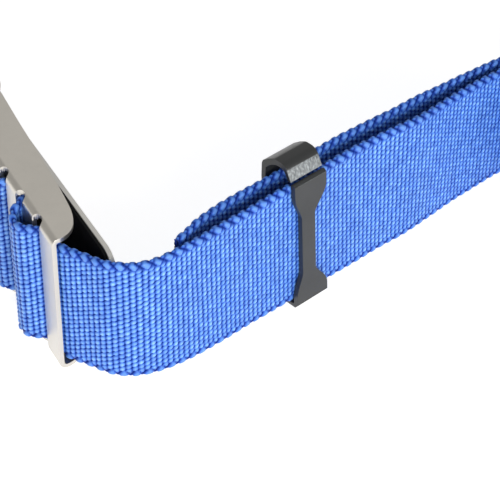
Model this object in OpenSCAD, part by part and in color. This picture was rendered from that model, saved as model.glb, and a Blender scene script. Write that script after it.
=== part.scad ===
// Webbing strap with a stamped cam-lever buckle and a split keeper.
// The buckle plate stands in the YZ plane with its outer face towards -X and its
// slotted end towards -Y; the strap leaves it round a corner and runs along +X.
// Everything stands on its lower edge at z = 0.

/* [Webbing] */
// Width of the webbing
web_w = 50; // [49:0.5:50.5]
// Thickness of the webbing
web_t = 2.8; // [2.4:0.1:2.8]
// Height of the webbing's lower edge above the floor in the buckle
web_z = 3.5; // [3.3:0.1:4]

/* [Buckle body] */
// Sheet thickness of the body
body_t = 1.6; // [1.4:0.1:1.6]
// Height of the body over both side flanges
body_h = 57; // [57:0.5:58]
// Length of the body plate
body_l = 104; // [102:1:110]
// Depth of the side flange where its rounded end finishes
flange_d = 13.2; // [12.8:0.1:13.4]
// Width of each webbing slot
slot_w = 5.5; // [5.4:0.1:5.7]
// Distance from one slot to the next
slot_pitch = 13.6; // [13.5:0.1:13.7]
// Middle of the first slot from the slotted end
slot_first = 12.6; // [12.5:0.1:12.7]
// Number of slots
slot_n = 4; // [4]

/* [Cam lever] */
// Depth of the pivot below the body's outer face
pivot_x = 10.5; // [10.4:0.1:10.6]
// Distance of the pivot from the slotted end
pivot_y = 88; // [87:0.5:89]
// Radius of the pivot pin
pin_r = 3; // [2.8:0.1:3]
// Radial running clearance on the pin
pin_gap = 0.05; // [0.03:0.01:0.08]
// Width of the lever
lever_w = 47; // [46:0.5:47]
// Sheet thickness of the lever
lever_t = 1.6; // [1.4:0.1:1.6]
// Depth of the lever's inner face below the body's outer face
lever_x = 15.6; // [15.4:0.1:15.8]
// How far the lever's tip passes the slotted end
lever_tip = 11; // [9:0.5:11]
// Thickness of the lever's pad
pad_t = 1; // [1:0.1:1.6]

/* [Keeper] */
// Length of the keeper along the strap at its cap
keeper_l = 14.1; // [13.6:0.1:14.2]
// Wall thickness of the keeper
keeper_t = 2.2; // [2:0.1:2.3]
// Overall height of the keeper's top above the floor
keeper_top = 61.3; // [61.2:0.1:61.5]

/* [Hidden] */
// Place of the bounding box's bottom centre in the buckle's own axes
shift = [-130.98, -27.9, 0];
eps = 0.01;
body_z0 = 0;
lever_z0 = (body_h - lever_w) / 2;
lever_z1 = lever_z0 + lever_w;
steel = [0.72, 0.71, 0.68];
blue = [0.18, 0.36, 0.82];

// ---- small helpers -------------------------------------------------------
function unit(v) = v / norm(v);
// Points of the arc of radius r that rounds corner b between a and c
function corner(a, b, c, r, n = 6) =
    let (d1 = unit(a - b), d2 = unit(c - b), ang = acos(d1 * d2),
         p = b + d1 * r / tan(ang / 2), q = b + d2 * r / tan(ang / 2),
         m = b + unit(d1 + d2) * r / sin(ang / 2),
         a0 = atan2(p[1] - m[1], p[0] - m[0]),
         a1 = atan2(q[1] - m[1], q[0] - m[0]),
         da = ((a1 - a0 + 540) % 360) - 180)
    [for (i = [0:n]) m + r * [cos(a0 + da * i / n), sin(a0 + da * i / n)]];
// Catmull-Rom curve through a list of points, n steps for each span
function cr(a, b, c, d, t) =
    0.5 * (2 * b + (c - a) * t + (2 * a - 5 * b + 4 * c - d) * t * t
           + (3 * b - a - 3 * c + d) * t * t * t);
function curve(p, n) = let (m = len(p) - 1) concat(
    [for (i = [0:m - 1]) for (k = [0:n - 1])
        cr(i == 0 ? 2 * p[0] - p[1] : p[i - 1], p[i], p[i + 1],
           i == m - 1 ? 2 * p[m] - p[m - 1] : p[i + 2], k / n)],
    [p[m]]);
// Left-hand normal of a path at point i
function nrm(p, i) = let (a = p[max(i - 1, 0)], b = p[min(i + 1, len(p) - 1)],
                          d = unit(b - a)) [-d[1], d[0]];
// Closed outline of a ribbon of thickness t that follows a path
function ribbon(p, t) = concat(
    [for (i = [0:len(p) - 1]) p[i] + nrm(p, i) * t / 2],
    [for (i = [len(p) - 1:-1:0]) p[i] - nrm(p, i) * t / 2]);
// Quadratic curve from a to c that is pulled towards b
function bez(a, b, c, n) = [for (i = [0:n]) let (t = i / n)
    a * (1 - t) * (1 - t) + b * 2 * t * (1 - t) + c * t * t];

// ---- the webbing's route, in plan ---------------------------------------
// Middle of the webbing where it lies behind a bar, where it bulges over the
// second bar and where it lies over the fourth
in_x = body_t + web_t / 2 + 0.15;
bulge_x = -4.7;
over_x = -2.2;
slope = 1.454; // run across the sheet for each millimetre along it
s1 = slot_first;
s2 = slot_first + slot_pitch;
s3 = slot_first + 2 * slot_pitch;
s4 = slot_first + 3 * slot_pitch;
mid_x = body_t / 2;
function cross_at(x, s, side) = [x, s + side * abs(x - mid_x) / slope];
woven_start = [in_x, 76];
woven_corners = [
    woven_start,
    cross_at(in_x, s4, 1), cross_at(over_x, s4, -1),
    cross_at(over_x, s3, 1), cross_at(in_x, s3, -1),
    cross_at(in_x, s2, 1), cross_at(bulge_x, s2, -1),
    cross_at(bulge_x, s1, 1), cross_at(in_x, s1, -1),
    [in_x, 5]];
woven_r = [0, 3, 3, 3, 3, 3, 5, 5, 3, 0];
woven_path = concat([woven_start],
    [for (i = [1:8]) each corner(woven_corners[i - 1], woven_corners[i],
                                 woven_corners[i + 1], woven_r[i])],
    [[in_x, 5]]);
// Round the corner and along the front of the straight run
front_points = [
    [3.15, 5], [3.4, 2.5], [4.6, -0.5], [8.5, -6.2], [13, -12.6], [19.5, -17],
    [27, -18.5], [35, -18.2], [43, -17.1], [51, -15.4], [60, -13.4],
    [71, -11], [82, -8.6], [93, -6.2], [104, -3.8], [115, -1.4], [126, 1],
    [137, 3.2], [144.5, 5.1], [152.5, 7.4], [160, 9.6], [168, 11.7], [176, 13.5],
    [184, 15.2], [200, 18.6], [212, 21.1], [222.3, 23.2]];
front_path = curve(front_points, 3);
// Back along the far side to the cut end
tail_points = [
    [221.7, 26.1], [211.3, 24.2], [199.1, 22.3], [182.9, 20.2], [174.9, 18.9],
    [166.5, 17.7], [158.1, 16.3], [150.3, 14.9], [142.2, 13.2], [135, 11.3],
    [124.3, 8.6], [113.3, 6.2], [102.3, 3.8], [91.3, 1.4], [80.3, -1],
    [69.3, -3.4], [58.3, -5.8], [48.6, -8.9], [43, -11.6], [37.5, -13.9]];
tail_path = curve(tail_points, 3);
// The stored length, wound as a flat double roll
roll_c = [230, -11.5];
roll_r = 35.5;
roll_gap = 3;
roll_turns = 4.5;
roll_a0 = 102.5;
roll_step = 12;
function roll_pt(r0, s) = roll_c
    + (r0 - 2 * roll_gap * s / 360) * [cos(roll_a0 - s), sin(roll_a0 - s)];
roll_in = [for (s = [0:roll_step:roll_turns * 360]) roll_pt(roll_r, s)];
roll_out = [for (s = [roll_turns * 360:-roll_step:0]) roll_pt(roll_r + roll_gap, s)];
roll_end = roll_turns * 360;
fold_c = (roll_pt(roll_r, roll_end) + roll_pt(roll_r + roll_gap, roll_end)) / 2;
// the fold turns outwards, from the inner layer to the outer one
fold = [for (k = [1:5]) fold_c
    + roll_gap / 2 * [cos(roll_a0 - roll_end + 180 + k * 30),
                      sin(roll_a0 - roll_end + 180 + k * 30)]];
roll_path = concat(roll_in, fold, roll_out);
function path_len(p) = len(p) < 2 ? 0 :
    [for (i = 0, s = 0; i < len(p); s = s + (i + 1 < len(p) ? norm(p[i + 1] - p[i]) : 0),
          i = i + 1) s][len(p) - 1];
echo(webbing_length = path_len(woven_path) + path_len(front_path)
     + path_len(roll_path) + path_len(tail_path));

// ---- buckle body ---------------------------------------------------------
bend_r = 2.6;
module flange_outline() {
    polygon(concat([[0, 0]],
        bez([3.2, 0], [11.2, 1.2], [flange_d - 0.8, 15.4], 12),
        [[flange_d, 22.8], [flange_d + 1, 38], [flange_d + 2.2, 61],
         [flange_d + 3.5, 80], [flange_d + 3.7, 93], [11, 98.6],
         [6, 101.4], [3.4, body_l], [0, body_l]]));
    translate([pivot_x, pivot_y]) circle(r = 8.6, $fn = 72);
}
// The formed sheet in section: a channel with rounded bends
module channel_outline(r, x0, z0, z1) {
    translate([x0 + r, z0]) square([30, z1 - z0]);
    translate([x0, z0 + r]) square([30, z1 - z0 - 2 * r]);
    for (z = [z0 + r, z1 - r]) translate([x0 + r, z]) circle(r = r, $fn = 32);
}
module buckle_body() {
    color(steel) translate(shift) difference() {
        intersection() {
            translate([0, body_l, 0]) rotate([90, 0, 0]) linear_extrude(body_l)
                difference() {
                    channel_outline(bend_r, 0, 0, body_h);
                    channel_outline(bend_r - body_t, body_t, body_t, body_h - body_t);
                }
            translate([0, 0, -1]) linear_extrude(body_h + 2) flange_outline();
        }
        for (i = [0:slot_n - 1]) translate([0, slot_first + i * slot_pitch, 0]) {
            translate([-1, -slot_w / 2, bend_r]) cube([body_t + 1.2, slot_w, body_h - 2 * bend_r]);
            for (z = [-1, body_h - bend_r - 0.3])
                translate([-0.8, 0, z]) cylinder(r = slot_w / 2 + 0.3, h = bend_r + 1.3, $fn = 40);
        }
        translate([pivot_x, pivot_y, -1]) cylinder(r = pin_r + 0.02, h = body_h + 2, $fn = 64);
    }
}

// ---- cam lever -------------------------------------------------------------
module cheek_outline() {
    difference() {
        union() {
            translate([pivot_x, pivot_y]) circle(r = 5.7, $fn = 64);
            polygon([[lever_x + lever_t, 58], [lever_x + lever_t, pivot_y + 4.3],
                     [pivot_x, pivot_y + 5.7], [pivot_x - 5, pivot_y - 2.7],
                     [lever_x, 58]]);
        }
        translate([pivot_x, pivot_y]) circle(r = pin_r + pin_gap, $fn = 64);
    }
}
module cam_lever() {
    color(steel) translate(shift) difference() {
        union() {
            // the plate, with rounded corners at its tip
            intersection() {
                translate([lever_x, -lever_tip, lever_z0])
                    cube([lever_t, lever_tip + pivot_y + 4.3, lever_w]);
                translate([lever_x - 1, 0, 0]) rotate([90, 0, 90]) linear_extrude(4) {
                    for (z = [lever_z0 + 7, lever_z1 - 7])
                        translate([-lever_tip + 7, z]) circle(r = 7, $fn = 48);
                    translate([-lever_tip + 7, lever_z0]) square([120, lever_w]);
                    translate([-lever_tip, lever_z0 + 7]) square([120, lever_w - 14]);
                }
            }
            for (z = [lever_z0, lever_z1 - lever_t])
                translate([0, 0, z]) linear_extrude(lever_t) cheek_outline();
        }
        for (z = rivet_z) translate([5, rivet_y, z]) rotate([0, 90, 0])
            cylinder(r = rivet_r, h = 20, $fn = 32);
    }
}
rivet_y = 81.5;
rivet_r = 2;
rivet_z = [18.5, 38.5];

module lever_pad() {
    color([0.05, 0.05, 0.05]) translate(shift)
        translate([lever_x - pad_t, 0, 0]) rotate([90, 0, 90]) linear_extrude(pad_t) {
            for (z = [lever_z0 + 7.2, lever_z1 - 7.2])
                translate([-lever_tip + 7.6, z]) circle(r = 6.6, $fn = 40);
            translate([-lever_tip + 7.6, lever_z0 + 0.6]) square([60, lever_w - 1.2]);
            translate([-lever_tip + 1, lever_z0 + 7.2]) square([66.6, lever_w - 14.4]);
        }
}

// The jaw turns with the lever; its toothed nose is off centre on the pin
module jaw_outline() {
    difference() {
        union() {
            translate([pivot_x - 0.9, pivot_y - 1.5]) polygon([for (a = [0:3:357])
                (4.5 + (a > 128 && a < 234 ? 0.5 * ((a - 129) % 15) / 12 : 0))
                * [cos(a), sin(a)]]);
            translate([pivot_x, pivot_y]) circle(r = 4.6, $fn = 60);
            translate([8.4, 78]) square([lever_x - 8.4, 13.6]);
        }
        translate([pivot_x, pivot_y]) circle(r = pin_r + pin_gap, $fn = 64);
    }
}
module cam_jaw() {
    color([0.45, 0.45, 0.46]) translate(shift) difference() {
        translate([0, 0, lever_z0 + lever_t + 0.2])
            linear_extrude(lever_w - 2 * lever_t - 0.4) jaw_outline();
        for (z = rivet_z) translate([9.4, rivet_y, z]) rotate([0, 90, 0])
            cylinder(r = rivet_r, h = 10, $fn = 32);
    }
}
module jaw_rivets() {
    color([0.6, 0.6, 0.6]) translate(shift) for (z = rivet_z)
        translate([9.4, rivet_y, z]) rotate([0, 90, 0]) {
            cylinder(r = rivet_r, h = lever_x + lever_t - 9.4, $fn = 32);
            translate([0, 0, lever_x + lever_t - 9.4]) cylinder(r = 3.6, h = 0.5, $fn = 40);
            translate([0, 0, lever_x + lever_t - 8.9])
                rotate_extrude($fn = 40) intersection() {
                    translate([0, -4.95]) circle(r = 6.1, $fn = 72);
                    square([3.6, 4]);
                }
        }
}

// ---- pivot -----------------------------------------------------------------
module pivot_pin() {
    color([0.6, 0.6, 0.6]) translate(shift) translate([pivot_x, pivot_y, 0]) {
        translate([0, 0, 0.1]) cylinder(r = pin_r, h = body_h - 0.1, $fn = 64);
        translate([0, 0, body_h]) cylinder(r = 5, h = 0.6, $fn = 64);
        translate([0, 0, body_h + 0.6]) rotate_extrude($fn = 64) intersection() {
            translate([0, -11.9]) circle(r = 12.9, $fn = 120);
            square([5, 3]);
        }
    }
}
module pivot_spacer(z0, z1) {
    color([0.08, 0.08, 0.08]) translate(shift) translate([pivot_x, pivot_y, z0])
        difference() {
            cylinder(r = 5.6, h = z1 - z0, $fn = 56);
            translate([0, 0, -1]) cylinder(r = pin_r + pin_gap, h = z1 - z0 + 2, $fn = 64);
        }
}
module pivot_spacer_bottom() pivot_spacer(body_t + 0.05, lever_z0 - 0.05);
module pivot_spacer_top() pivot_spacer(lever_z1 + 0.05, body_h - body_t - 0.05);

// ---- keeper ----------------------------------------------------------------
// Its own axes: x along the strap, y across the layers, from the middle of
// the front layer towards the tail, and z up
keeper_at = [89, -6];
keeper_turn = 12.31;
keeper_back = 3.55; // it leans back with the webbing inside it
keeper_lean = 1.2; // and stands a little askew on the webbing
inner_f = -web_t / 2 - 0.6;
inner_b = 7.8 + web_t / 2 + 1.7;
outer_f = -4;
outer_b = inner_b + keeper_t;
// How wide the keeper is at each height, from 0 at its waist to 1 at its ends
function keeper_flare(z) = max(
    z < 6 ? 1 : z > 16 ? 0 : pow(cos((z - 6) * 9), 1.4),
    z > 50 ? 1 : z < 40 ? 0 : pow(sin((z - 40) * 9), 1.4));
function keeper_right(z) = 2.1 + (keeper_l / 2 + 0.35 - 2.1) * keeper_flare(z);
function keeper_left(z) = -3.9 - (keeper_l / 2 - 0.35 - 3.9) * keeper_flare(z);
keeper_zs = concat([-2, 6], [for (z = [7:1:16]) z], [for (z = [40:1:50]) z], [66]);
module keeper_section() {
    polygon([[-1.85, 55.5], [-0.15, 59.5], [1.2, keeper_top - 0.5], [2.6, keeper_top],
             [5.4, keeper_top], [6.4, keeper_top - 0.3], [9, 59.6], [11.9, 57.5],
             [12.5, 56.2], [12.9, 51], [outer_b, 46], [outer_b, 3], [outer_b - 1.7, 1.2],
             [outer_f + 1.5, 1.2], [outer_f, 2.9], [outer_f, 54.2],
             [outer_f + 0.8, 54.9], [inner_f - 0.4, 54.9], [inner_f, 54.5],
             [inner_f, 3.2], [inner_f + 0.5, 2.7], [inner_b - 1.2, 2.7], [inner_b, 4],
             [inner_b, 50.6], [inner_b - 0.4, 55], [9.9, 56.1], [8, 57.6],
             [5.3, 59], [3, 59.1], [1.7, 58.7], [0.7, 57.6], [-0.6, 55.3]]);
}
module keeper() {
    color([0.12, 0.12, 0.13]) translate(shift)
        translate([keeper_at[0], keeper_at[1], 30])
            rotate([0, 0, keeper_turn]) rotate([0, -keeper_lean, 0]) rotate([-keeper_back, 0, 0])
            translate([0, 0, -30]) intersection() {
                translate([-20, 0, 0]) rotate([90, 0, 90]) linear_extrude(40) keeper_section();
                translate([0, 20, 0]) rotate([90, 0, 0]) linear_extrude(40)
                    polygon(concat([for (z = keeper_zs) [keeper_right(z), z]],
                        [for (i = [len(keeper_zs) - 1:-1:0])
                            [keeper_left(keeper_zs[i]), keeper_zs[i]]]));
            }
}

// ---- webbing ---------------------------------------------------------------
module band(path, z0) {
    color(blue) translate(shift) translate([0, 0, z0])
        linear_extrude(web_w) polygon(ribbon(path, web_t));
}
module webbing_woven_end() band(woven_path, web_z);
// The long runs lean back a little between the buckle and the roll. How far
// the upper and the lower edge are set back at each distance along X:
lean_top = [[25, 0], [42, 1.3], [60, 1.7], [75, 2.1], [89, 2.5], [98, 3], [107, 3.3],
            [116, 3.2], [128, 2.5], [140, 1.5], [150, 1.3], [176, 1.1], [212, 0]];
lean_low = [[20, 0], [34, -0.6], [176, -0.6], [212, 0]];
function soft_lookup(x, t) = (lookup(x - 4, t) + 2 * lookup(x, t) + lookup(x + 4, t)) / 4;
module leaning_band(path, z0, back) {
    m = len(path);
    pts = [for (i = [0:m - 1]) let (n = nrm(path, i), h = n * web_t / 2,
               a = n * back * soft_lookup(path[i][0], lean_low),
               b = n * back * soft_lookup(path[i][0], lean_top), p = path[i])
           each [[each (p + a + h), z0], [each (p + a - h), z0],
                 [each (p + b - h), z0 + web_w], [each (p + b + h), z0 + web_w]]];
    sides = [for (i = [0:m - 2]) for (k = [0:3]) let (q = 4 * i, j = (k + 1) % 4)
             each [[q + k, q + j, q + 4 + j], [q + k, q + 4 + j, q + 4 + k]]];
    e = 4 * (m - 1);
    color(blue) translate(shift)
        polyhedron(pts, concat(sides, [[0, 2, 1], [0, 3, 2], [e, e + 1, e + 2], [e, e + 2, e + 3]]));
}
module webbing_front_run() leaning_band(front_path, web_z, 1);
module webbing_roll() band(roll_path, 0);
module webbing_free_end() leaning_band(tail_path, web_z, -1);

buckle_body();
cam_lever();
lever_pad();
cam_jaw();
jaw_rivets();
pivot_pin();
pivot_spacer_top();
pivot_spacer_bottom();
keeper();
webbing_woven_end();
webbing_front_run();
webbing_roll();
webbing_free_end();
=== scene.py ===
"""Looks of the webbing strap with its cam-lever buckle and split keeper."""

import math

import bpy
import numpy as np
from mathutils import Euler, Matrix, Vector


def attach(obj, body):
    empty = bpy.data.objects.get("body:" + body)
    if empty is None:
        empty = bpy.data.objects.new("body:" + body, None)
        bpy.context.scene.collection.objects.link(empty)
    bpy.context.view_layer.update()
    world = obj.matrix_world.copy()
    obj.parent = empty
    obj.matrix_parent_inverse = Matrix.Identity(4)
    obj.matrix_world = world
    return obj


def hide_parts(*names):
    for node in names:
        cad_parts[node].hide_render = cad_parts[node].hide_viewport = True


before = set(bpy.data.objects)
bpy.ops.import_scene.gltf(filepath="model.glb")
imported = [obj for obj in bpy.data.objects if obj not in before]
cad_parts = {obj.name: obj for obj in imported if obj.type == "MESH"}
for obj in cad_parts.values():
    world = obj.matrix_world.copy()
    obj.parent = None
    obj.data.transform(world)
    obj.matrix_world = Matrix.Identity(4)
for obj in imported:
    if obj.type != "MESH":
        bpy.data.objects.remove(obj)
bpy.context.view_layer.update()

# ---------------------------------------------------------------------------
# Camera. Lengths in this script's tables are millimetres in the buckle's own
# axes, as in part.scad; SHIFT takes them to the row frame.
# ---------------------------------------------------------------------------
SHIFT = np.array([-130.98, -27.9, 0.0])


def row(x, y, z):
    return Vector(((x + SHIFT[0]) / 1000, (y + SHIFT[1]) / 1000, z / 1000))


cam_data = bpy.data.cameras.new("camera")
cam_data.sensor_width = 36.0
cam_data.lens = 123.26
cam_data.clip_start = 0.01
cam_data.clip_end = 20.0
cam = bpy.data.objects.new("camera", cam_data)
bpy.context.scene.collection.objects.link(cam)
cam.matrix_world = (
    Matrix.Translation(row(-147.13, -379.24, 410.3))
    @ Euler((math.radians(48.59), 0, math.radians(-30)), "XYZ").to_matrix().to_4x4()
    @ Matrix.Rotation(math.radians(1.61), 4, "Z")
)
bpy.context.scene.camera = cam

# ---------------------------------------------------------------------------
# The webbing's route, the same points as in part.scad
# ---------------------------------------------------------------------------
WEB_W, WEB_T = 50.0, 2.8
BODY_T = 1.6
S1, PITCH = 12.6, 13.6


def unit(v):
    v = np.asarray(v, float)
    return v / np.linalg.norm(v)


def corner(a, b, c, r, n):
    """Points of the arc of radius r that rounds corner b between a and c."""
    a, b, c = (np.asarray(p, float) for p in (a, b, c))
    d1, d2 = unit(a - b), unit(c - b)
    ang = math.acos(float(d1 @ d2))
    p, q = b + d1 * r / math.tan(ang / 2), b + d2 * r / math.tan(ang / 2)
    m = b + unit(d1 + d2) * r / math.sin(ang / 2)
    a0 = math.atan2(p[1] - m[1], p[0] - m[0])
    a1 = math.atan2(q[1] - m[1], q[0] - m[0])
    da = (a1 - a0 + 3 * math.pi) % (2 * math.pi) - math.pi
    return [m + r * np.array([math.cos(a0 + da * i / n), math.sin(a0 + da * i / n)])
            for i in range(n + 1)]


def curve(points, n):
    """Catmull-Rom curve through the points, n steps for each span."""
    p = [np.asarray(q, float) for q in points]
    p = [2 * p[0] - p[1]] + p + [2 * p[-1] - p[-2]]
    out = []
    for i in range(1, len(p) - 2):
        a, b, c, d = p[i - 1:i + 3]
        for k in range(n):
            t = k / n
            out.append(0.5 * (2 * b + (c - a) * t + (2 * a - 5 * b + 4 * c - d) * t * t
                              + (3 * b - a - 3 * c + d) * t ** 3))
    return np.array(out + [p[-2]])


IN_X = BODY_T + WEB_T / 2 + 0.15
BULGE_X, OVER_X, SLOPE = -4.7, -2.2, 1.454


def cross_at(x, s, side):
    return (x, s + side * abs(x - BODY_T / 2) / SLOPE)


s1, s2, s3, s4 = (S1 + k * PITCH for k in range(4))
woven_corners = [
    (IN_X, 76),
    cross_at(IN_X, s4, 1), cross_at(OVER_X, s4, -1),
    cross_at(OVER_X, s3, 1), cross_at(IN_X, s3, -1),
    cross_at(IN_X, s2, 1), cross_at(BULGE_X, s2, -1),
    cross_at(BULGE_X, s1, 1), cross_at(IN_X, s1, -1),
    (IN_X, 5)]
woven_r = [0, 3, 3, 3, 3, 3, 5, 5, 3, 0]
woven_path = [np.array(woven_corners[0], float)]
for i in range(1, 9):
    woven_path += corner(woven_corners[i - 1], woven_corners[i], woven_corners[i + 1],
                         woven_r[i], 10)
woven_path = np.array(woven_path + [np.array(woven_corners[-1], float)])

front_path = curve([
    (3.15, 5), (3.4, 2.5), (4.6, -0.5), (8.5, -6.2), (13, -12.6), (19.5, -17),
    (27, -18.5), (35, -18.2), (43, -17.1), (51, -15.4), (60, -13.4),
    (71, -11), (82, -8.6), (93, -6.2), (104, -3.8), (115, -1.4), (126, 1),
    (137, 3.2), (144.5, 5.1), (152.5, 7.4), (160, 9.6), (168, 11.7), (176, 13.5),
    (184, 15.2), (200, 18.6), (212, 21.1), (222.3, 23.2)], 24)
tail_path = curve([
    (221.7, 26.1), (211.3, 24.2), (199.1, 22.3), (182.9, 20.2), (174.9, 18.9),
    (166.5, 17.7), (158.1, 16.3), (150.3, 14.9), (142.2, 13.2), (135, 11.3),
    (124.3, 8.6), (113.3, 6.2), (102.3, 3.8), (91.3, 1.4), (80.3, -1),
    (69.3, -3.4), (58.3, -5.8), (48.6, -8.9), (43, -11.6), (37.5, -13.9)], 24)

ROLL_C, ROLL_R, ROLL_GAP, ROLL_A0 = np.array([230.0, -11.5]), 35.5, 3.0, 102.5
ROLL_END = 1620


def roll_pt(r0, s):
    a = math.radians(ROLL_A0 - s)
    return ROLL_C + (r0 - 2 * ROLL_GAP * s / 360) * np.array([math.cos(a), math.sin(a)])


fold_c = (roll_pt(ROLL_R, ROLL_END) + roll_pt(ROLL_R + ROLL_GAP, ROLL_END)) / 2
fold = [fold_c + ROLL_GAP / 2 * np.array([math.cos(math.radians(ROLL_A0 - ROLL_END + 180 + k * 30)),
                                          math.sin(math.radians(ROLL_A0 - ROLL_END + 180 + k * 30))])
        for k in range(1, 6)]
roll_path = np.array([roll_pt(ROLL_R, s) for s in range(0, ROLL_END + 1, 4)] + fold
                     + [roll_pt(ROLL_R + ROLL_GAP, s) for s in range(ROLL_END, -1, -4)])


# How far the upper and the lower edge are set back at each distance along X
LEAN_TOP = np.array([(25, 0), (42, 1.3), (60, 1.7), (75, 2.1), (89, 2.5), (98, 3), (107, 3.3),
                     (116, 3.2), (128, 2.5), (140, 1.5), (150, 1.3), (176, 1.1), (212, 0)], float)
LEAN_LOW = np.array([(20, 0), (34, -0.6), (176, -0.6), (212, 0)], float)


def soft_lookup(x, t):
    f = lambda v: np.interp(v, t[:, 0], t[:, 1])
    return (f(x - 4) + 2 * f(x) + f(x + 4)) / 4


def length_of(path):
    return float(np.linalg.norm(np.diff(path, axis=0), axis=1).sum())


# ---------------------------------------------------------------------------
# The weave as real relief. s runs along the strip and w across it, in mm.
# ---------------------------------------------------------------------------
PICK = 2.0  # length of one column of the weave along the strip
BUMP = WEB_W / 26  # height of one bump across the strip
LOOP = 4.0  # length of one selvedge loop
EDGE = 3.3  # how far the loops reach from the edge's crest
R_EDGE = WEB_T / 2


def hash01(a, b):
    """A repeatable value from 0 to 1 for each pair of whole numbers."""
    v = np.sin(a * 12.9898 + b * 78.233) * 43758.5453
    return v - np.floor(v)


def field_relief(s, w):
    best = np.zeros(np.broadcast(s, w).shape)
    for dc in (-1, 0, 1):
        c = np.floor(s / PICK) + dc
        odd = np.mod(c, 2)
        k = w / BUMP - 0.5 * odd
        cell = np.floor(k)
        jit = 0.12 * (hash01(c, cell) - 0.5)
        dw = (k - cell - 0.5) * BUMP
        ds = s - (c + 0.5) * PICK - jit
        e = 1 - (ds / 1.12) ** 2 - ((dw - 0.30 * ds) / 1.16) ** 2
        high = np.clip(e, 0, None) ** 0.72 * (0.80 + 0.20 * hash01(cell, c))
        best = np.maximum(best, high)
    return best


def edge_relief(s, arc):
    """Slanted strands, like a braid, round the selvedge; arc is the distance
    from its crest. A deep groove parts one pair of strands from the next, and
    a finer one parts the two strands of a pair."""
    s = s + 0.12 * np.sin(s * 0.9)
    a = np.mod((s - 0.75 * arc) / LOOP, 1)
    a = np.minimum(a, 1 - a) * LOOP
    b = np.mod((s + 0.55 * arc) / LOOP + 0.42, 1)
    b = np.minimum(b, 1 - b) * LOOP
    deep = 1 - np.exp(-(a / 0.66) ** 2)
    fine = 1 - 0.75 * np.exp(-(b / 0.46) ** 2)
    # the strands stay fuller right on the crest
    full = 0.45 * np.exp(-(arc / 0.5) ** 2)
    return np.clip(deep * fine * (1 - full) + full * (0.35 + 0.65 * deep), 0, 1)


FIELD_AMP, EDGE_AMP = 0.70, 0.75


def resample(path, steps):
    """Positions, left-hand normals at the given distances along the path."""
    seg = np.linalg.norm(np.diff(path, axis=0), axis=1)
    at = np.concatenate([[0], np.cumsum(seg)])
    pos = np.stack([np.interp(steps, at, path[:, k]) for k in (0, 1)], 1)
    e = 0.35
    a = np.stack([np.interp(np.clip(steps - e, 0, at[-1]), at, path[:, k]) for k in (0, 1)], 1)
    b = np.stack([np.interp(np.clip(steps + e, 0, at[-1]), at, path[:, k]) for k in (0, 1)], 1)
    d = b - a
    d /= np.linalg.norm(d, axis=1)[:, None]
    return pos, np.stack([-d[:, 1], d[:, 0]], 1)


def section(n_front, n_edge, n_back):
    """The strip's closed section as rows of (w, n, outward w, outward n, arc from
    the nearer selvedge's crest). The first face has n below 0."""
    out = []
    lo, hi = R_EDGE, WEB_W - R_EDGE
    for w in np.linspace(lo, hi, n_front + 1)[:-1]:
        out.append((w, -R_EDGE, 0, -1))
    for k in range(n_edge):
        a = -math.pi / 2 + math.pi * k / n_edge
        out.append((hi + R_EDGE * math.cos(a), R_EDGE * math.sin(a), math.cos(a), math.sin(a)))
    for w in np.linspace(hi, lo, n_back + 1)[:-1]:
        out.append((w, R_EDGE, 0, 1))
    for k in range(n_edge):
        a = math.pi / 2 + math.pi * k / n_edge
        out.append((lo + R_EDGE * math.cos(a), R_EDGE * math.sin(a), math.cos(a), math.sin(a)))
    out = np.array(out)
    arc = []
    for w, n, ow, on in out:
        d = min(w, WEB_W - w)
        if ow == 0:
            arc.append(R_EDGE * math.pi / 2 + d - R_EDGE)
        else:
            arc.append(R_EDGE * abs(math.atan2(on, abs(ow))))
    return np.column_stack([out, arc])


def strip_rows(path, steps, s0, sec, z0, back=0.0, rise=None):
    """Vertex positions in metres, with the relief and (s, w) at each."""
    pos, nrm = resample(path, steps)
    s = (steps + s0)[:, None]
    w, n, ow, on, arc = (sec[:, k][None, :] for k in range(5))
    side = np.where(n >= 0, 900.0, 0.0)
    f = field_relief(s + 0 * w, w + side * 0)
    g = edge_relief(s + 0 * w, arc + 0 * s)
    t = np.clip((arc - (EDGE - 0.1)) / 0.7, 0, 1)
    t = t * t * (3 - 2 * t)
    # the edge strands get a lower relief value, so the ramp makes them a deeper blue than the field
    relief = g * 0.66 * (1 - t) + f * t
    drop = (1 - g) * EDGE_AMP * (1 - t) + (1 - f) * FIELD_AMP * t
    # a fuller, slightly uneven strip
    drop = drop + 0.05 * np.sin(s * 0.21 + w * 0.13) + 0.05
    ww = w - ow * drop
    nn = n - on * drop
    wave = 0.10 * np.sin(s * 0.083 + 1.3) + 0.06 * np.sin(s * 0.31)
    if rise is not None:
        wave = wave + rise(pos)[:, None] * np.clip(w / WEB_W - 0.5, 0, None) * 2
    z = z0(steps)[:, None] + ww + wave * np.sin(math.pi * (w / WEB_W - 0.5))
    if back:
        low, top = (soft_lookup(pos[:, 0], t)[:, None] for t in (LEAN_LOW, LEAN_TOP))
        nn = nn + back * (low + (top - low) * w / WEB_W)
    x = pos[:, 0][:, None] + nrm[:, 0][:, None] * nn
    y = pos[:, 1][:, None] + nrm[:, 1][:, None] * nn
    co = np.stack([x + SHIFT[0], y + SHIFT[1], z + 0 * x], 2) / 1000
    return co, relief, s + 0 * w, w + 0 * s


def mesh_object(name, co, faces, attrs=(), smooth=True):
    me = bpy.data.meshes.new(name)
    me.from_pydata(co.reshape(-1, 3).tolist(), [], faces)
    if smooth:
        me.shade_smooth()
    for label, values in attrs:
        a = me.attributes.new(label, "FLOAT", "POINT")
        a.data.foreach_set("value", np.asarray(values, np.float32).ravel())
    me.update()
    o = bpy.data.objects.new(name, me)
    bpy.context.scene.collection.objects.link(o)
    return o


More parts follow.
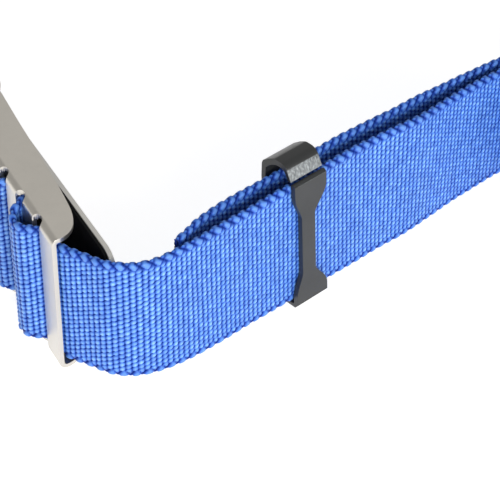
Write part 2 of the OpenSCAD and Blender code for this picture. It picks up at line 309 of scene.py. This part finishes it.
def grid_faces(rows, m, start=0):
    i = np.arange(rows - 1)[:, None] * m + start
    j = np.arange(m)[None, :]
    k = (j + 1) % m
    return np.stack([i + j, i + k, i + m + k, i + m + j], 2).reshape(-1, 4).tolist()


def steps_for(length, s0, ds, lo=None, hi=None):
    """Distances at whole multiples of ds of the strip's own length, ends included."""
    lo = 0.0 if lo is None else lo
    hi = length if hi is None else hi
    a = math.ceil((lo + s0) / ds + 0.35)
    b = math.floor((hi + s0) / ds - 0.35)
    return np.concatenate([[lo], np.arange(a, b + 1) * ds - s0, [hi]])


def strip(name, path, s0, n_front, n_back, ds, z0, frayed_end=False, n_edge=9, back=0.0,
          rise=None):
    length = length_of(path)
    sec = section(n_front, n_edge, n_back)
    m = len(sec)
    steps = steps_for(length, s0, ds)
    co, relief, s, w = strip_rows(path, steps, s0, sec, z0, back, rise)
    faces = grid_faces(len(steps), m)
    rows = len(steps)
    if frayed_end:
        # the heat-cut end: slightly uneven
        d = co[-1] - co[-3]
        d /= np.linalg.norm(d, axis=1)[:, None]
        ragged = 0.00025 * (hash01(np.arange(m) // 3, 5 + 0 * np.arange(m)) - 0.5)
        co[-1] += d * ragged[:, None]
    faces.append(list(range(m))[::1])
    faces.append([(rows - 1) * m + j for j in range(m)][::-1])
    o = mesh_object(name, co, faces, [("relief", relief), ("along", s), ("across", w),
                                      ("side", np.broadcast_to(np.sign(sec[:, 1]), relief.shape))])
    return o, length


def level(z):
    return lambda steps: np.full(len(steps), float(z))


def smooth01(t):
    t = np.clip(t, 0, 1)
    return t * t * (3 - 2 * t)


L_WOVEN, L_FRONT, L_ROLL, L_TAIL = (length_of(p) for p in (woven_path, front_path, roll_path, tail_path))

# The strip leaves the roll on the floor and rises to the buckle's slots
# The upper edge bunches up where it turns over the second bar
woven, _ = strip("webbing_woven", woven_path, 0.0, 104, 66, 0.5, level(3.5),
                 rise=lambda p: 1.9 * np.exp(-((p[:, 1] - s2) / 4.2) ** 2))
front, _ = strip("webbing_run", front_path, L_WOVEN, 104, 66, 0.5,
                 lambda u: 3.5 * (1 - smooth01((u - (L_FRONT - 27)) / 25)), back=1.0)
tail, _ = strip("webbing_tail", tail_path, L_WOVEN + L_FRONT + L_ROLL, 96, 96, 0.55,
                lambda u: 3.5 * smooth01((u - 2) / 25), frayed_end=True, back=-1.0)


def roll_strip():
    """The stored length. Its outermost turn is finer than the turns inside it."""
    sec = section(78, 8, 16)
    m = len(sec)
    # the coarse section takes every few points of the fine one
    keep = sorted(set(list(range(0, 78, 6)) + list(range(78, 86, 1))
                      + list(range(86, 102, 4)) + list(range(102, 110, 1))))
    split = L_ROLL - 2 * math.pi * 37.5
    s0 = L_WOVEN + L_FRONT
    coarse = steps_for(L_ROLL, s0, 1.25, 0.0, split)[:-1]
    fine = steps_for(L_ROLL, s0, 0.5, split, L_ROLL)
    ca = strip_rows(roll_path, coarse, s0, sec[keep], level(0.1))
    fi = strip_rows(roll_path, fine, s0, sec, level(0.1))
    q, nc, nf = len(keep), len(coarse), len(fine)
    faces = grid_faces(nc, q)
    base = nc * q
    for a in range(q):
        b = (a + 1) % q
        i0, i1 = keep[a], keep[b] if b else m
        top = [base + (i % m) for i in range(i0, i1 + 1)]
        faces.append([(nc - 1) * q + a, (nc - 1) * q + b] + top[::-1])
    faces += grid_faces(nf, m, base)
    faces.append(list(range(q)))
    faces.append([base + (nf - 1) * m + j for j in range(m)][::-1])
    cat = lambda k: np.concatenate([ca[k].reshape(-1), fi[k].reshape(-1)])
    co = np.concatenate([ca[0].reshape(-1, 3), fi[0].reshape(-1, 3)])
    side = np.concatenate([np.tile(np.sign(sec[keep][:, 1]), nc), np.tile(np.sign(sec[:, 1]), nf)])
    return mesh_object("webbing_coil", co, faces,
                       [("relief", cat(1)), ("along", cat(2)), ("across", cat(3)), ("side", side)])


coil = roll_strip()

# ---------------------------------------------------------------------------
# Materials
# ---------------------------------------------------------------------------
class Nodes:
    """Short hands for building a node tree."""

    def __init__(self, name):
        self.mat = bpy.data.materials.new(name)
        self.mat.use_nodes = True
        self.t = self.mat.node_tree
        self.bsdf = self.t.nodes["Principled BSDF"]
        self.out = self.t.nodes["Material Output"]

    def new(self, kind, **props):
        n = self.t.nodes.new(kind)
        for k, v in props.items():
            setattr(n, k, v)
        return n

    def link(self, a, b):
        self.t.links.new(a, b)

    def put(self, socket, value):
        if hasattr(value, "default_value") or hasattr(value, "is_linked"):
            self.link(value, socket)
        else:
            socket.default_value = value

    def math(self, op, a, b=0.0, clamp=False):
        n = self.new("ShaderNodeMath", operation=op, use_clamp=clamp)
        self.put(n.inputs[0], a)
        self.put(n.inputs[1], b)
        return n.outputs[0]

    def attr(self, name):
        return self.new("ShaderNodeAttribute", attribute_name=name).outputs["Fac"]

    def coords(self, scale=(1, 1, 1)):
        tc = self.new("ShaderNodeTexCoord")
        mp = self.new("ShaderNodeMapping")
        mp.inputs["Scale"].default_value = scale
        self.link(tc.outputs["Object"], mp.inputs["Vector"])
        return mp.outputs["Vector"]

    def noise(self, vector, scale, detail=4.0, rough=0.55):
        n = self.new("ShaderNodeTexNoise")
        self.link(vector, n.inputs["Vector"])
        n.inputs["Scale"].default_value = scale
        n.inputs["Detail"].default_value = detail
        n.inputs["Roughness"].default_value = rough
        return n.outputs["Fac"]

    def ramp(self, fac, stops):
        n = self.new("ShaderNodeValToRGB")
        r = n.color_ramp
        while len(r.elements) < len(stops):
            r.elements.new(0.5)
        for e, (pos, col) in zip(r.elements, stops):
            e.position = pos
            e.color = (*col, 1) if len(col) == 3 else col
        self.link(fac, n.inputs["Fac"])
        return n.outputs["Color"]

    def mix(self, fac, a, b, blend="MIX"):
        n = self.new("ShaderNodeMix", data_type="RGBA", blend_type=blend)
        self.put(n.inputs[0], fac)
        self.put(n.inputs[6], a)
        self.put(n.inputs[7], b)
        return n.outputs[2]

    def bump(self, height, strength, distance, normal=None):
        n = self.new("ShaderNodeBump")
        n.inputs["Strength"].default_value = strength
        n.inputs["Distance"].default_value = distance
        self.link(height, n.inputs["Height"])
        if normal is not None:
            self.link(normal, n.inputs["Normal"])
        return n.outputs["Normal"]


def webbing_material():
    k = Nodes("blue_woven_nylon")
    rel, s, w = k.attr("relief"), k.attr("along"), k.attr("across")
    vec = k.new("ShaderNodeCombineXYZ")
    k.link(s, vec.inputs[0])
    k.link(w, vec.inputs[1])
    # painted shade in the valleys between the yarns and painted highlight on their crests, from the relief
    base = k.ramp(rel, [(0.0, (0.004, 0.014, 0.12)), (0.28, (0.016, 0.056, 0.34)),
                        (0.55, (0.056, 0.170, 0.58)), (0.78, (0.125, 0.300, 0.74)),
                        (1.0, (0.250, 0.490, 0.85))])
    # each yarn's own slight difference in tone
    cell = k.new("ShaderNodeCombineXYZ")
    k.link(k.math("FLOOR", k.math("DIVIDE", s, PICK)), cell.inputs[0])
    k.link(k.math("FLOOR", k.math("DIVIDE", w, BUMP / 2)), cell.inputs[1])
    wn = k.new("ShaderNodeTexWhiteNoise", noise_dimensions="2D")
    k.link(cell.outputs[0], wn.inputs["Vector"])
    tone = k.math("ADD", k.math("MULTIPLY", wn.outputs["Value"], 0.22), 0.89)
    broad = k.math("ADD", k.math("MULTIPLY", k.noise(vec.outputs[0], 0.09, 2.0), 0.24), 0.88)
    grey = k.new("ShaderNodeCombineColor")
    v = k.math("MULTIPLY", tone, broad)
    for i in range(3):
        k.link(v, grey.inputs[i])
    base = k.mix(1.0, base, grey.outputs[0], "MULTIPLY")
    k.link(base, k.bsdf.inputs["Base Color"])
    # filaments: fine lines along each yarn, drawn out along the strip
    mp = k.new("ShaderNodeMapping")
    mp.inputs["Scale"].default_value = (1.1, 9.0, 1.0)
    mp.inputs["Rotation"].default_value = (0, 0, 0.25)
    k.link(vec.outputs[0], mp.inputs["Vector"])
    fil = k.noise(mp.outputs["Vector"], 1.0, 3.0, 0.6)
    k.link(k.bump(fil, 0.55, 0.00012), k.bsdf.inputs["Normal"])
    rough = k.math("ADD", k.math("MULTIPLY", fil, 0.22), 0.27)
    k.link(rough, k.bsdf.inputs["Roughness"])
    # light is lost between the yarns, so the valleys neither shine nor bloom
    k.link(k.math("MULTIPLY", k.math("POWER", rel, 1.5), 0.75), k.bsdf.inputs["Specular IOR Level"])
    k.link(k.math("MULTIPLY", k.math("POWER", rel, 2.0), 0.18), k.bsdf.inputs["Sheen Weight"])
    k.bsdf.inputs["Sheen Roughness"].default_value = 0.4
    k.bsdf.inputs["Sheen Tint"].default_value = (0.55, 0.75, 1.0, 1)
    return k.mat


def steel_material(name, tint, rough, grain_scale, wear=0.0):
    k = Nodes(name)
    v = k.coords()
    cloud = k.noise(v, 38.0, 5.0, 0.6)
    fine = k.noise(k.coords(grain_scale), 1.0, 4.0, 0.7)
    lo = tuple(c * 0.88 for c in tint)
    col = k.ramp(k.math("ADD", k.math("MULTIPLY", cloud, 0.6), k.math("MULTIPLY", fine, 0.4)),
                 [(0.3, lo), (0.7, tint)])
    k.link(col, k.bsdf.inputs["Base Color"])
    k.bsdf.inputs["Metallic"].default_value = 1.0
    k.link(k.math("ADD", k.math("MULTIPLY", fine, 0.16), rough - 0.08), k.bsdf.inputs["Roughness"])
    n = k.bump(fine, 0.22, 0.00004)
    n = k.bump(k.noise(v, 900.0, 3.0), 0.10, 0.00003, n)
    k.link(n, k.bsdf.inputs["Normal"])
    return k.mat


def plastic_material(name, tint, rough, spec, grain=2600.0, strength=0.12, scratch=0.0,
                     facet=None):
    k = Nodes(name)
    v = k.coords()
    cloud = k.noise(v, 60.0, 3.0)
    col = k.ramp(cloud, [(0.3, tuple(c * 0.8 for c in tint)), (0.7, tuple(c * 1.15 for c in tint))])
    if scratch:
        lines = k.noise(k.coords((300.0, 300.0, 3000.0)), 1.0, 2.0)
        fac = k.math("MULTIPLY", k.math("GREATER_THAN", lines, 0.72), scratch)
        col = k.mix(fac, col, (*(c * 2.2 + 0.02 for c in tint), 1))
    if facet:
        # a painted highlight on the facet that faces the lamps: paler, and streaked down its slope
        geo = k.new("ShaderNodeNewGeometry")
        dot = k.new("ShaderNodeVectorMath", operation="DOT_PRODUCT")
        k.link(geo.outputs["True Normal"], dot.inputs[0])
        dot.inputs[1].default_value = facet
        on = k.ramp(dot.outputs["Value"], [(0.955, (0, 0, 0)), (0.985, (1, 1, 1))])
        streak = k.noise(k.coords((1500.0, 1500.0, 160.0)), 1.0, 3.0, 0.65)
        pale = k.ramp(streak, [(0.28, (0.03, 0.033, 0.033)), (0.52, (0.14, 0.155, 0.16)),
                               (0.75, (0.34, 0.365, 0.37))])
        col = k.mix(on, col, pale)
    k.link(col, k.bsdf.inputs["Base Color"])
    k.link(k.math("ADD", k.math("MULTIPLY", k.noise(v, 400.0), 0.18), rough - 0.09),
           k.bsdf.inputs["Roughness"])
    k.bsdf.inputs["Specular IOR Level"].default_value = spec
    k.link(k.bump(k.noise(v, grain, 2.0), strength, 0.00005), k.bsdf.inputs["Normal"])
    return k.mat


WEB = webbing_material()
STEEL = steel_material("pickled_stainless", (0.72, 0.68, 0.61), 0.33, (260.0, 260.0, 2600.0))
LEVER_STEEL = steel_material("brushed_stainless", (0.80, 0.78, 0.73), 0.50, (2600.0, 240.0, 2600.0))
PIN_STEEL = steel_material("turned_steel", (0.62, 0.61, 0.60), 0.28, (1500.0, 1500.0, 1500.0))
CAST = steel_material("cast_jaw", (0.33, 0.33, 0.34), 0.52, (700.0, 700.0, 700.0))
# near-black pad on the lever's inner face: its blackness is painted shade for the dark gap between lever and body
PAD = plastic_material("pad_painted_shade", (0.0035, 0.0035, 0.004), 0.72, 0.15, 1500.0, 0.2)
NYLON = plastic_material("spacer_nylon", (0.02, 0.02, 0.021), 0.5, 0.4)
# the keeper's slanted facet gets a painted highlight
KEEPER = plastic_material("keeper_moulding", (0.020, 0.021, 0.021), 0.36, 0.5, 1800.0, 0.15,
                          facet=(0.19, -0.873, 0.446))


def dress(o, material, body=None):
    o.data.materials.clear()
    o.data.materials.append(material)
    if body:
        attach(o, body)


for o, node, length, rests in (
        (woven, "webbing_woven_end", L_WOVEN, ["buckle_body"]),
        (front, "webbing_front_run", L_FRONT, ["buckle_body", "webbing_coil"]),
        (coil, "webbing_roll", L_ROLL, ["floor"]),
        (tail, "webbing_free_end", L_TAIL, ["keeper", "webbing_coil"])):
    dress(o, WEB, "strap_and_buckle")
    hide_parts(node)

for node, material in (
        ("buckle_body", STEEL), ("cam_lever", LEVER_STEEL), ("lever_pad", PAD),
        ("cam_jaw", CAST), ("jaw_rivets", PIN_STEEL), ("pivot_pin", PIN_STEEL),
        ("pivot_spacer_top", NYLON), ("pivot_spacer_bottom", NYLON), ("keeper", KEEPER)):
    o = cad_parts[node]
    o.data.materials.clear()
    o.data.materials.append(material)
    weld = o.modifiers.new("weld", "WELD")
    weld.merge_threshold = 0.00001
    if node not in ("pivot_pin", "jaw_rivets", "pivot_spacer_top", "pivot_spacer_bottom"):
        bv = o.modifiers.new("edges", "BEVEL")
        bv.width = 0.00022 if node != "keeper" else 0.0003
        bv.segments = 2
        bv.limit_method = "ANGLE"
        bv.angle_limit = math.radians(38)
        bv.use_clamp_overlap = True
        bv.harden_normals = False
    for p in o.data.polygons:
        p.use_smooth = True
    sm = o.modifiers.new("normals", "WEIGHTED_NORMAL")
    sm.keep_sharp = False

# ---------------------------------------------------------------------------
# Floor and light
# ---------------------------------------------------------------------------
fm = Nodes("studio_floor")
fm.bsdf.inputs["Base Color"].default_value = (0.6, 0.6, 0.6, 1)
fm.bsdf.inputs["Emission Color"].default_value = (1, 1, 1, 1)
fm.bsdf.inputs["Emission Strength"].default_value = 0.74
fm.bsdf.inputs["Roughness"].default_value = 0.9
fm.bsdf.inputs["Specular IOR Level"].default_value = 0.1
floor_me = bpy.data.meshes.new("floor")
floor_me.from_pydata([(-4, -4, -0.0002), (4, -4, -0.0002), (4, 4, -0.0002), (-4, 4, -0.0002)], [], [(0, 1, 2, 3)])
floor = bpy.data.objects.new("floor", floor_me)
floor_me.materials.append(fm.mat)
bpy.context.scene.collection.objects.link(floor)

world = bpy.data.worlds.new("studio")
world.use_nodes = True
world.node_tree.nodes["Background"].inputs["Color"].default_value = (1, 1, 1, 1)
world.node_tree.nodes["Background"].inputs["Strength"].default_value = 0.42
bpy.context.scene.world = world
bpy.context.scene.view_settings.view_transform = "Standard"


def area_light(name, at, target, size, power, colour=(1, 1, 1)):
    d = bpy.data.lights.new(name, "AREA")
    d.shape = "SQUARE"
    d.size = size
    d.energy = power
    d.color = colour
    o = bpy.data.objects.new(name, d)
    bpy.context.scene.collection.objects.link(o)
    o.location = at
    o.rotation_euler = (Vector(target) - Vector(at)).to_track_quat("-Z", "Y").to_euler()
    return o


mid = row(70, 10, 28)
area_light("key", mid + Vector((-0.30, -0.92, 0.36)), mid, 0.40, 10.0)
area_light("side", mid + Vector((0.66, -0.74, 0.16)), mid, 0.30, 2.0)
area_light("back", mid + Vector((0.60, 1.05, 1.10)), mid, 1.4, 1.2)
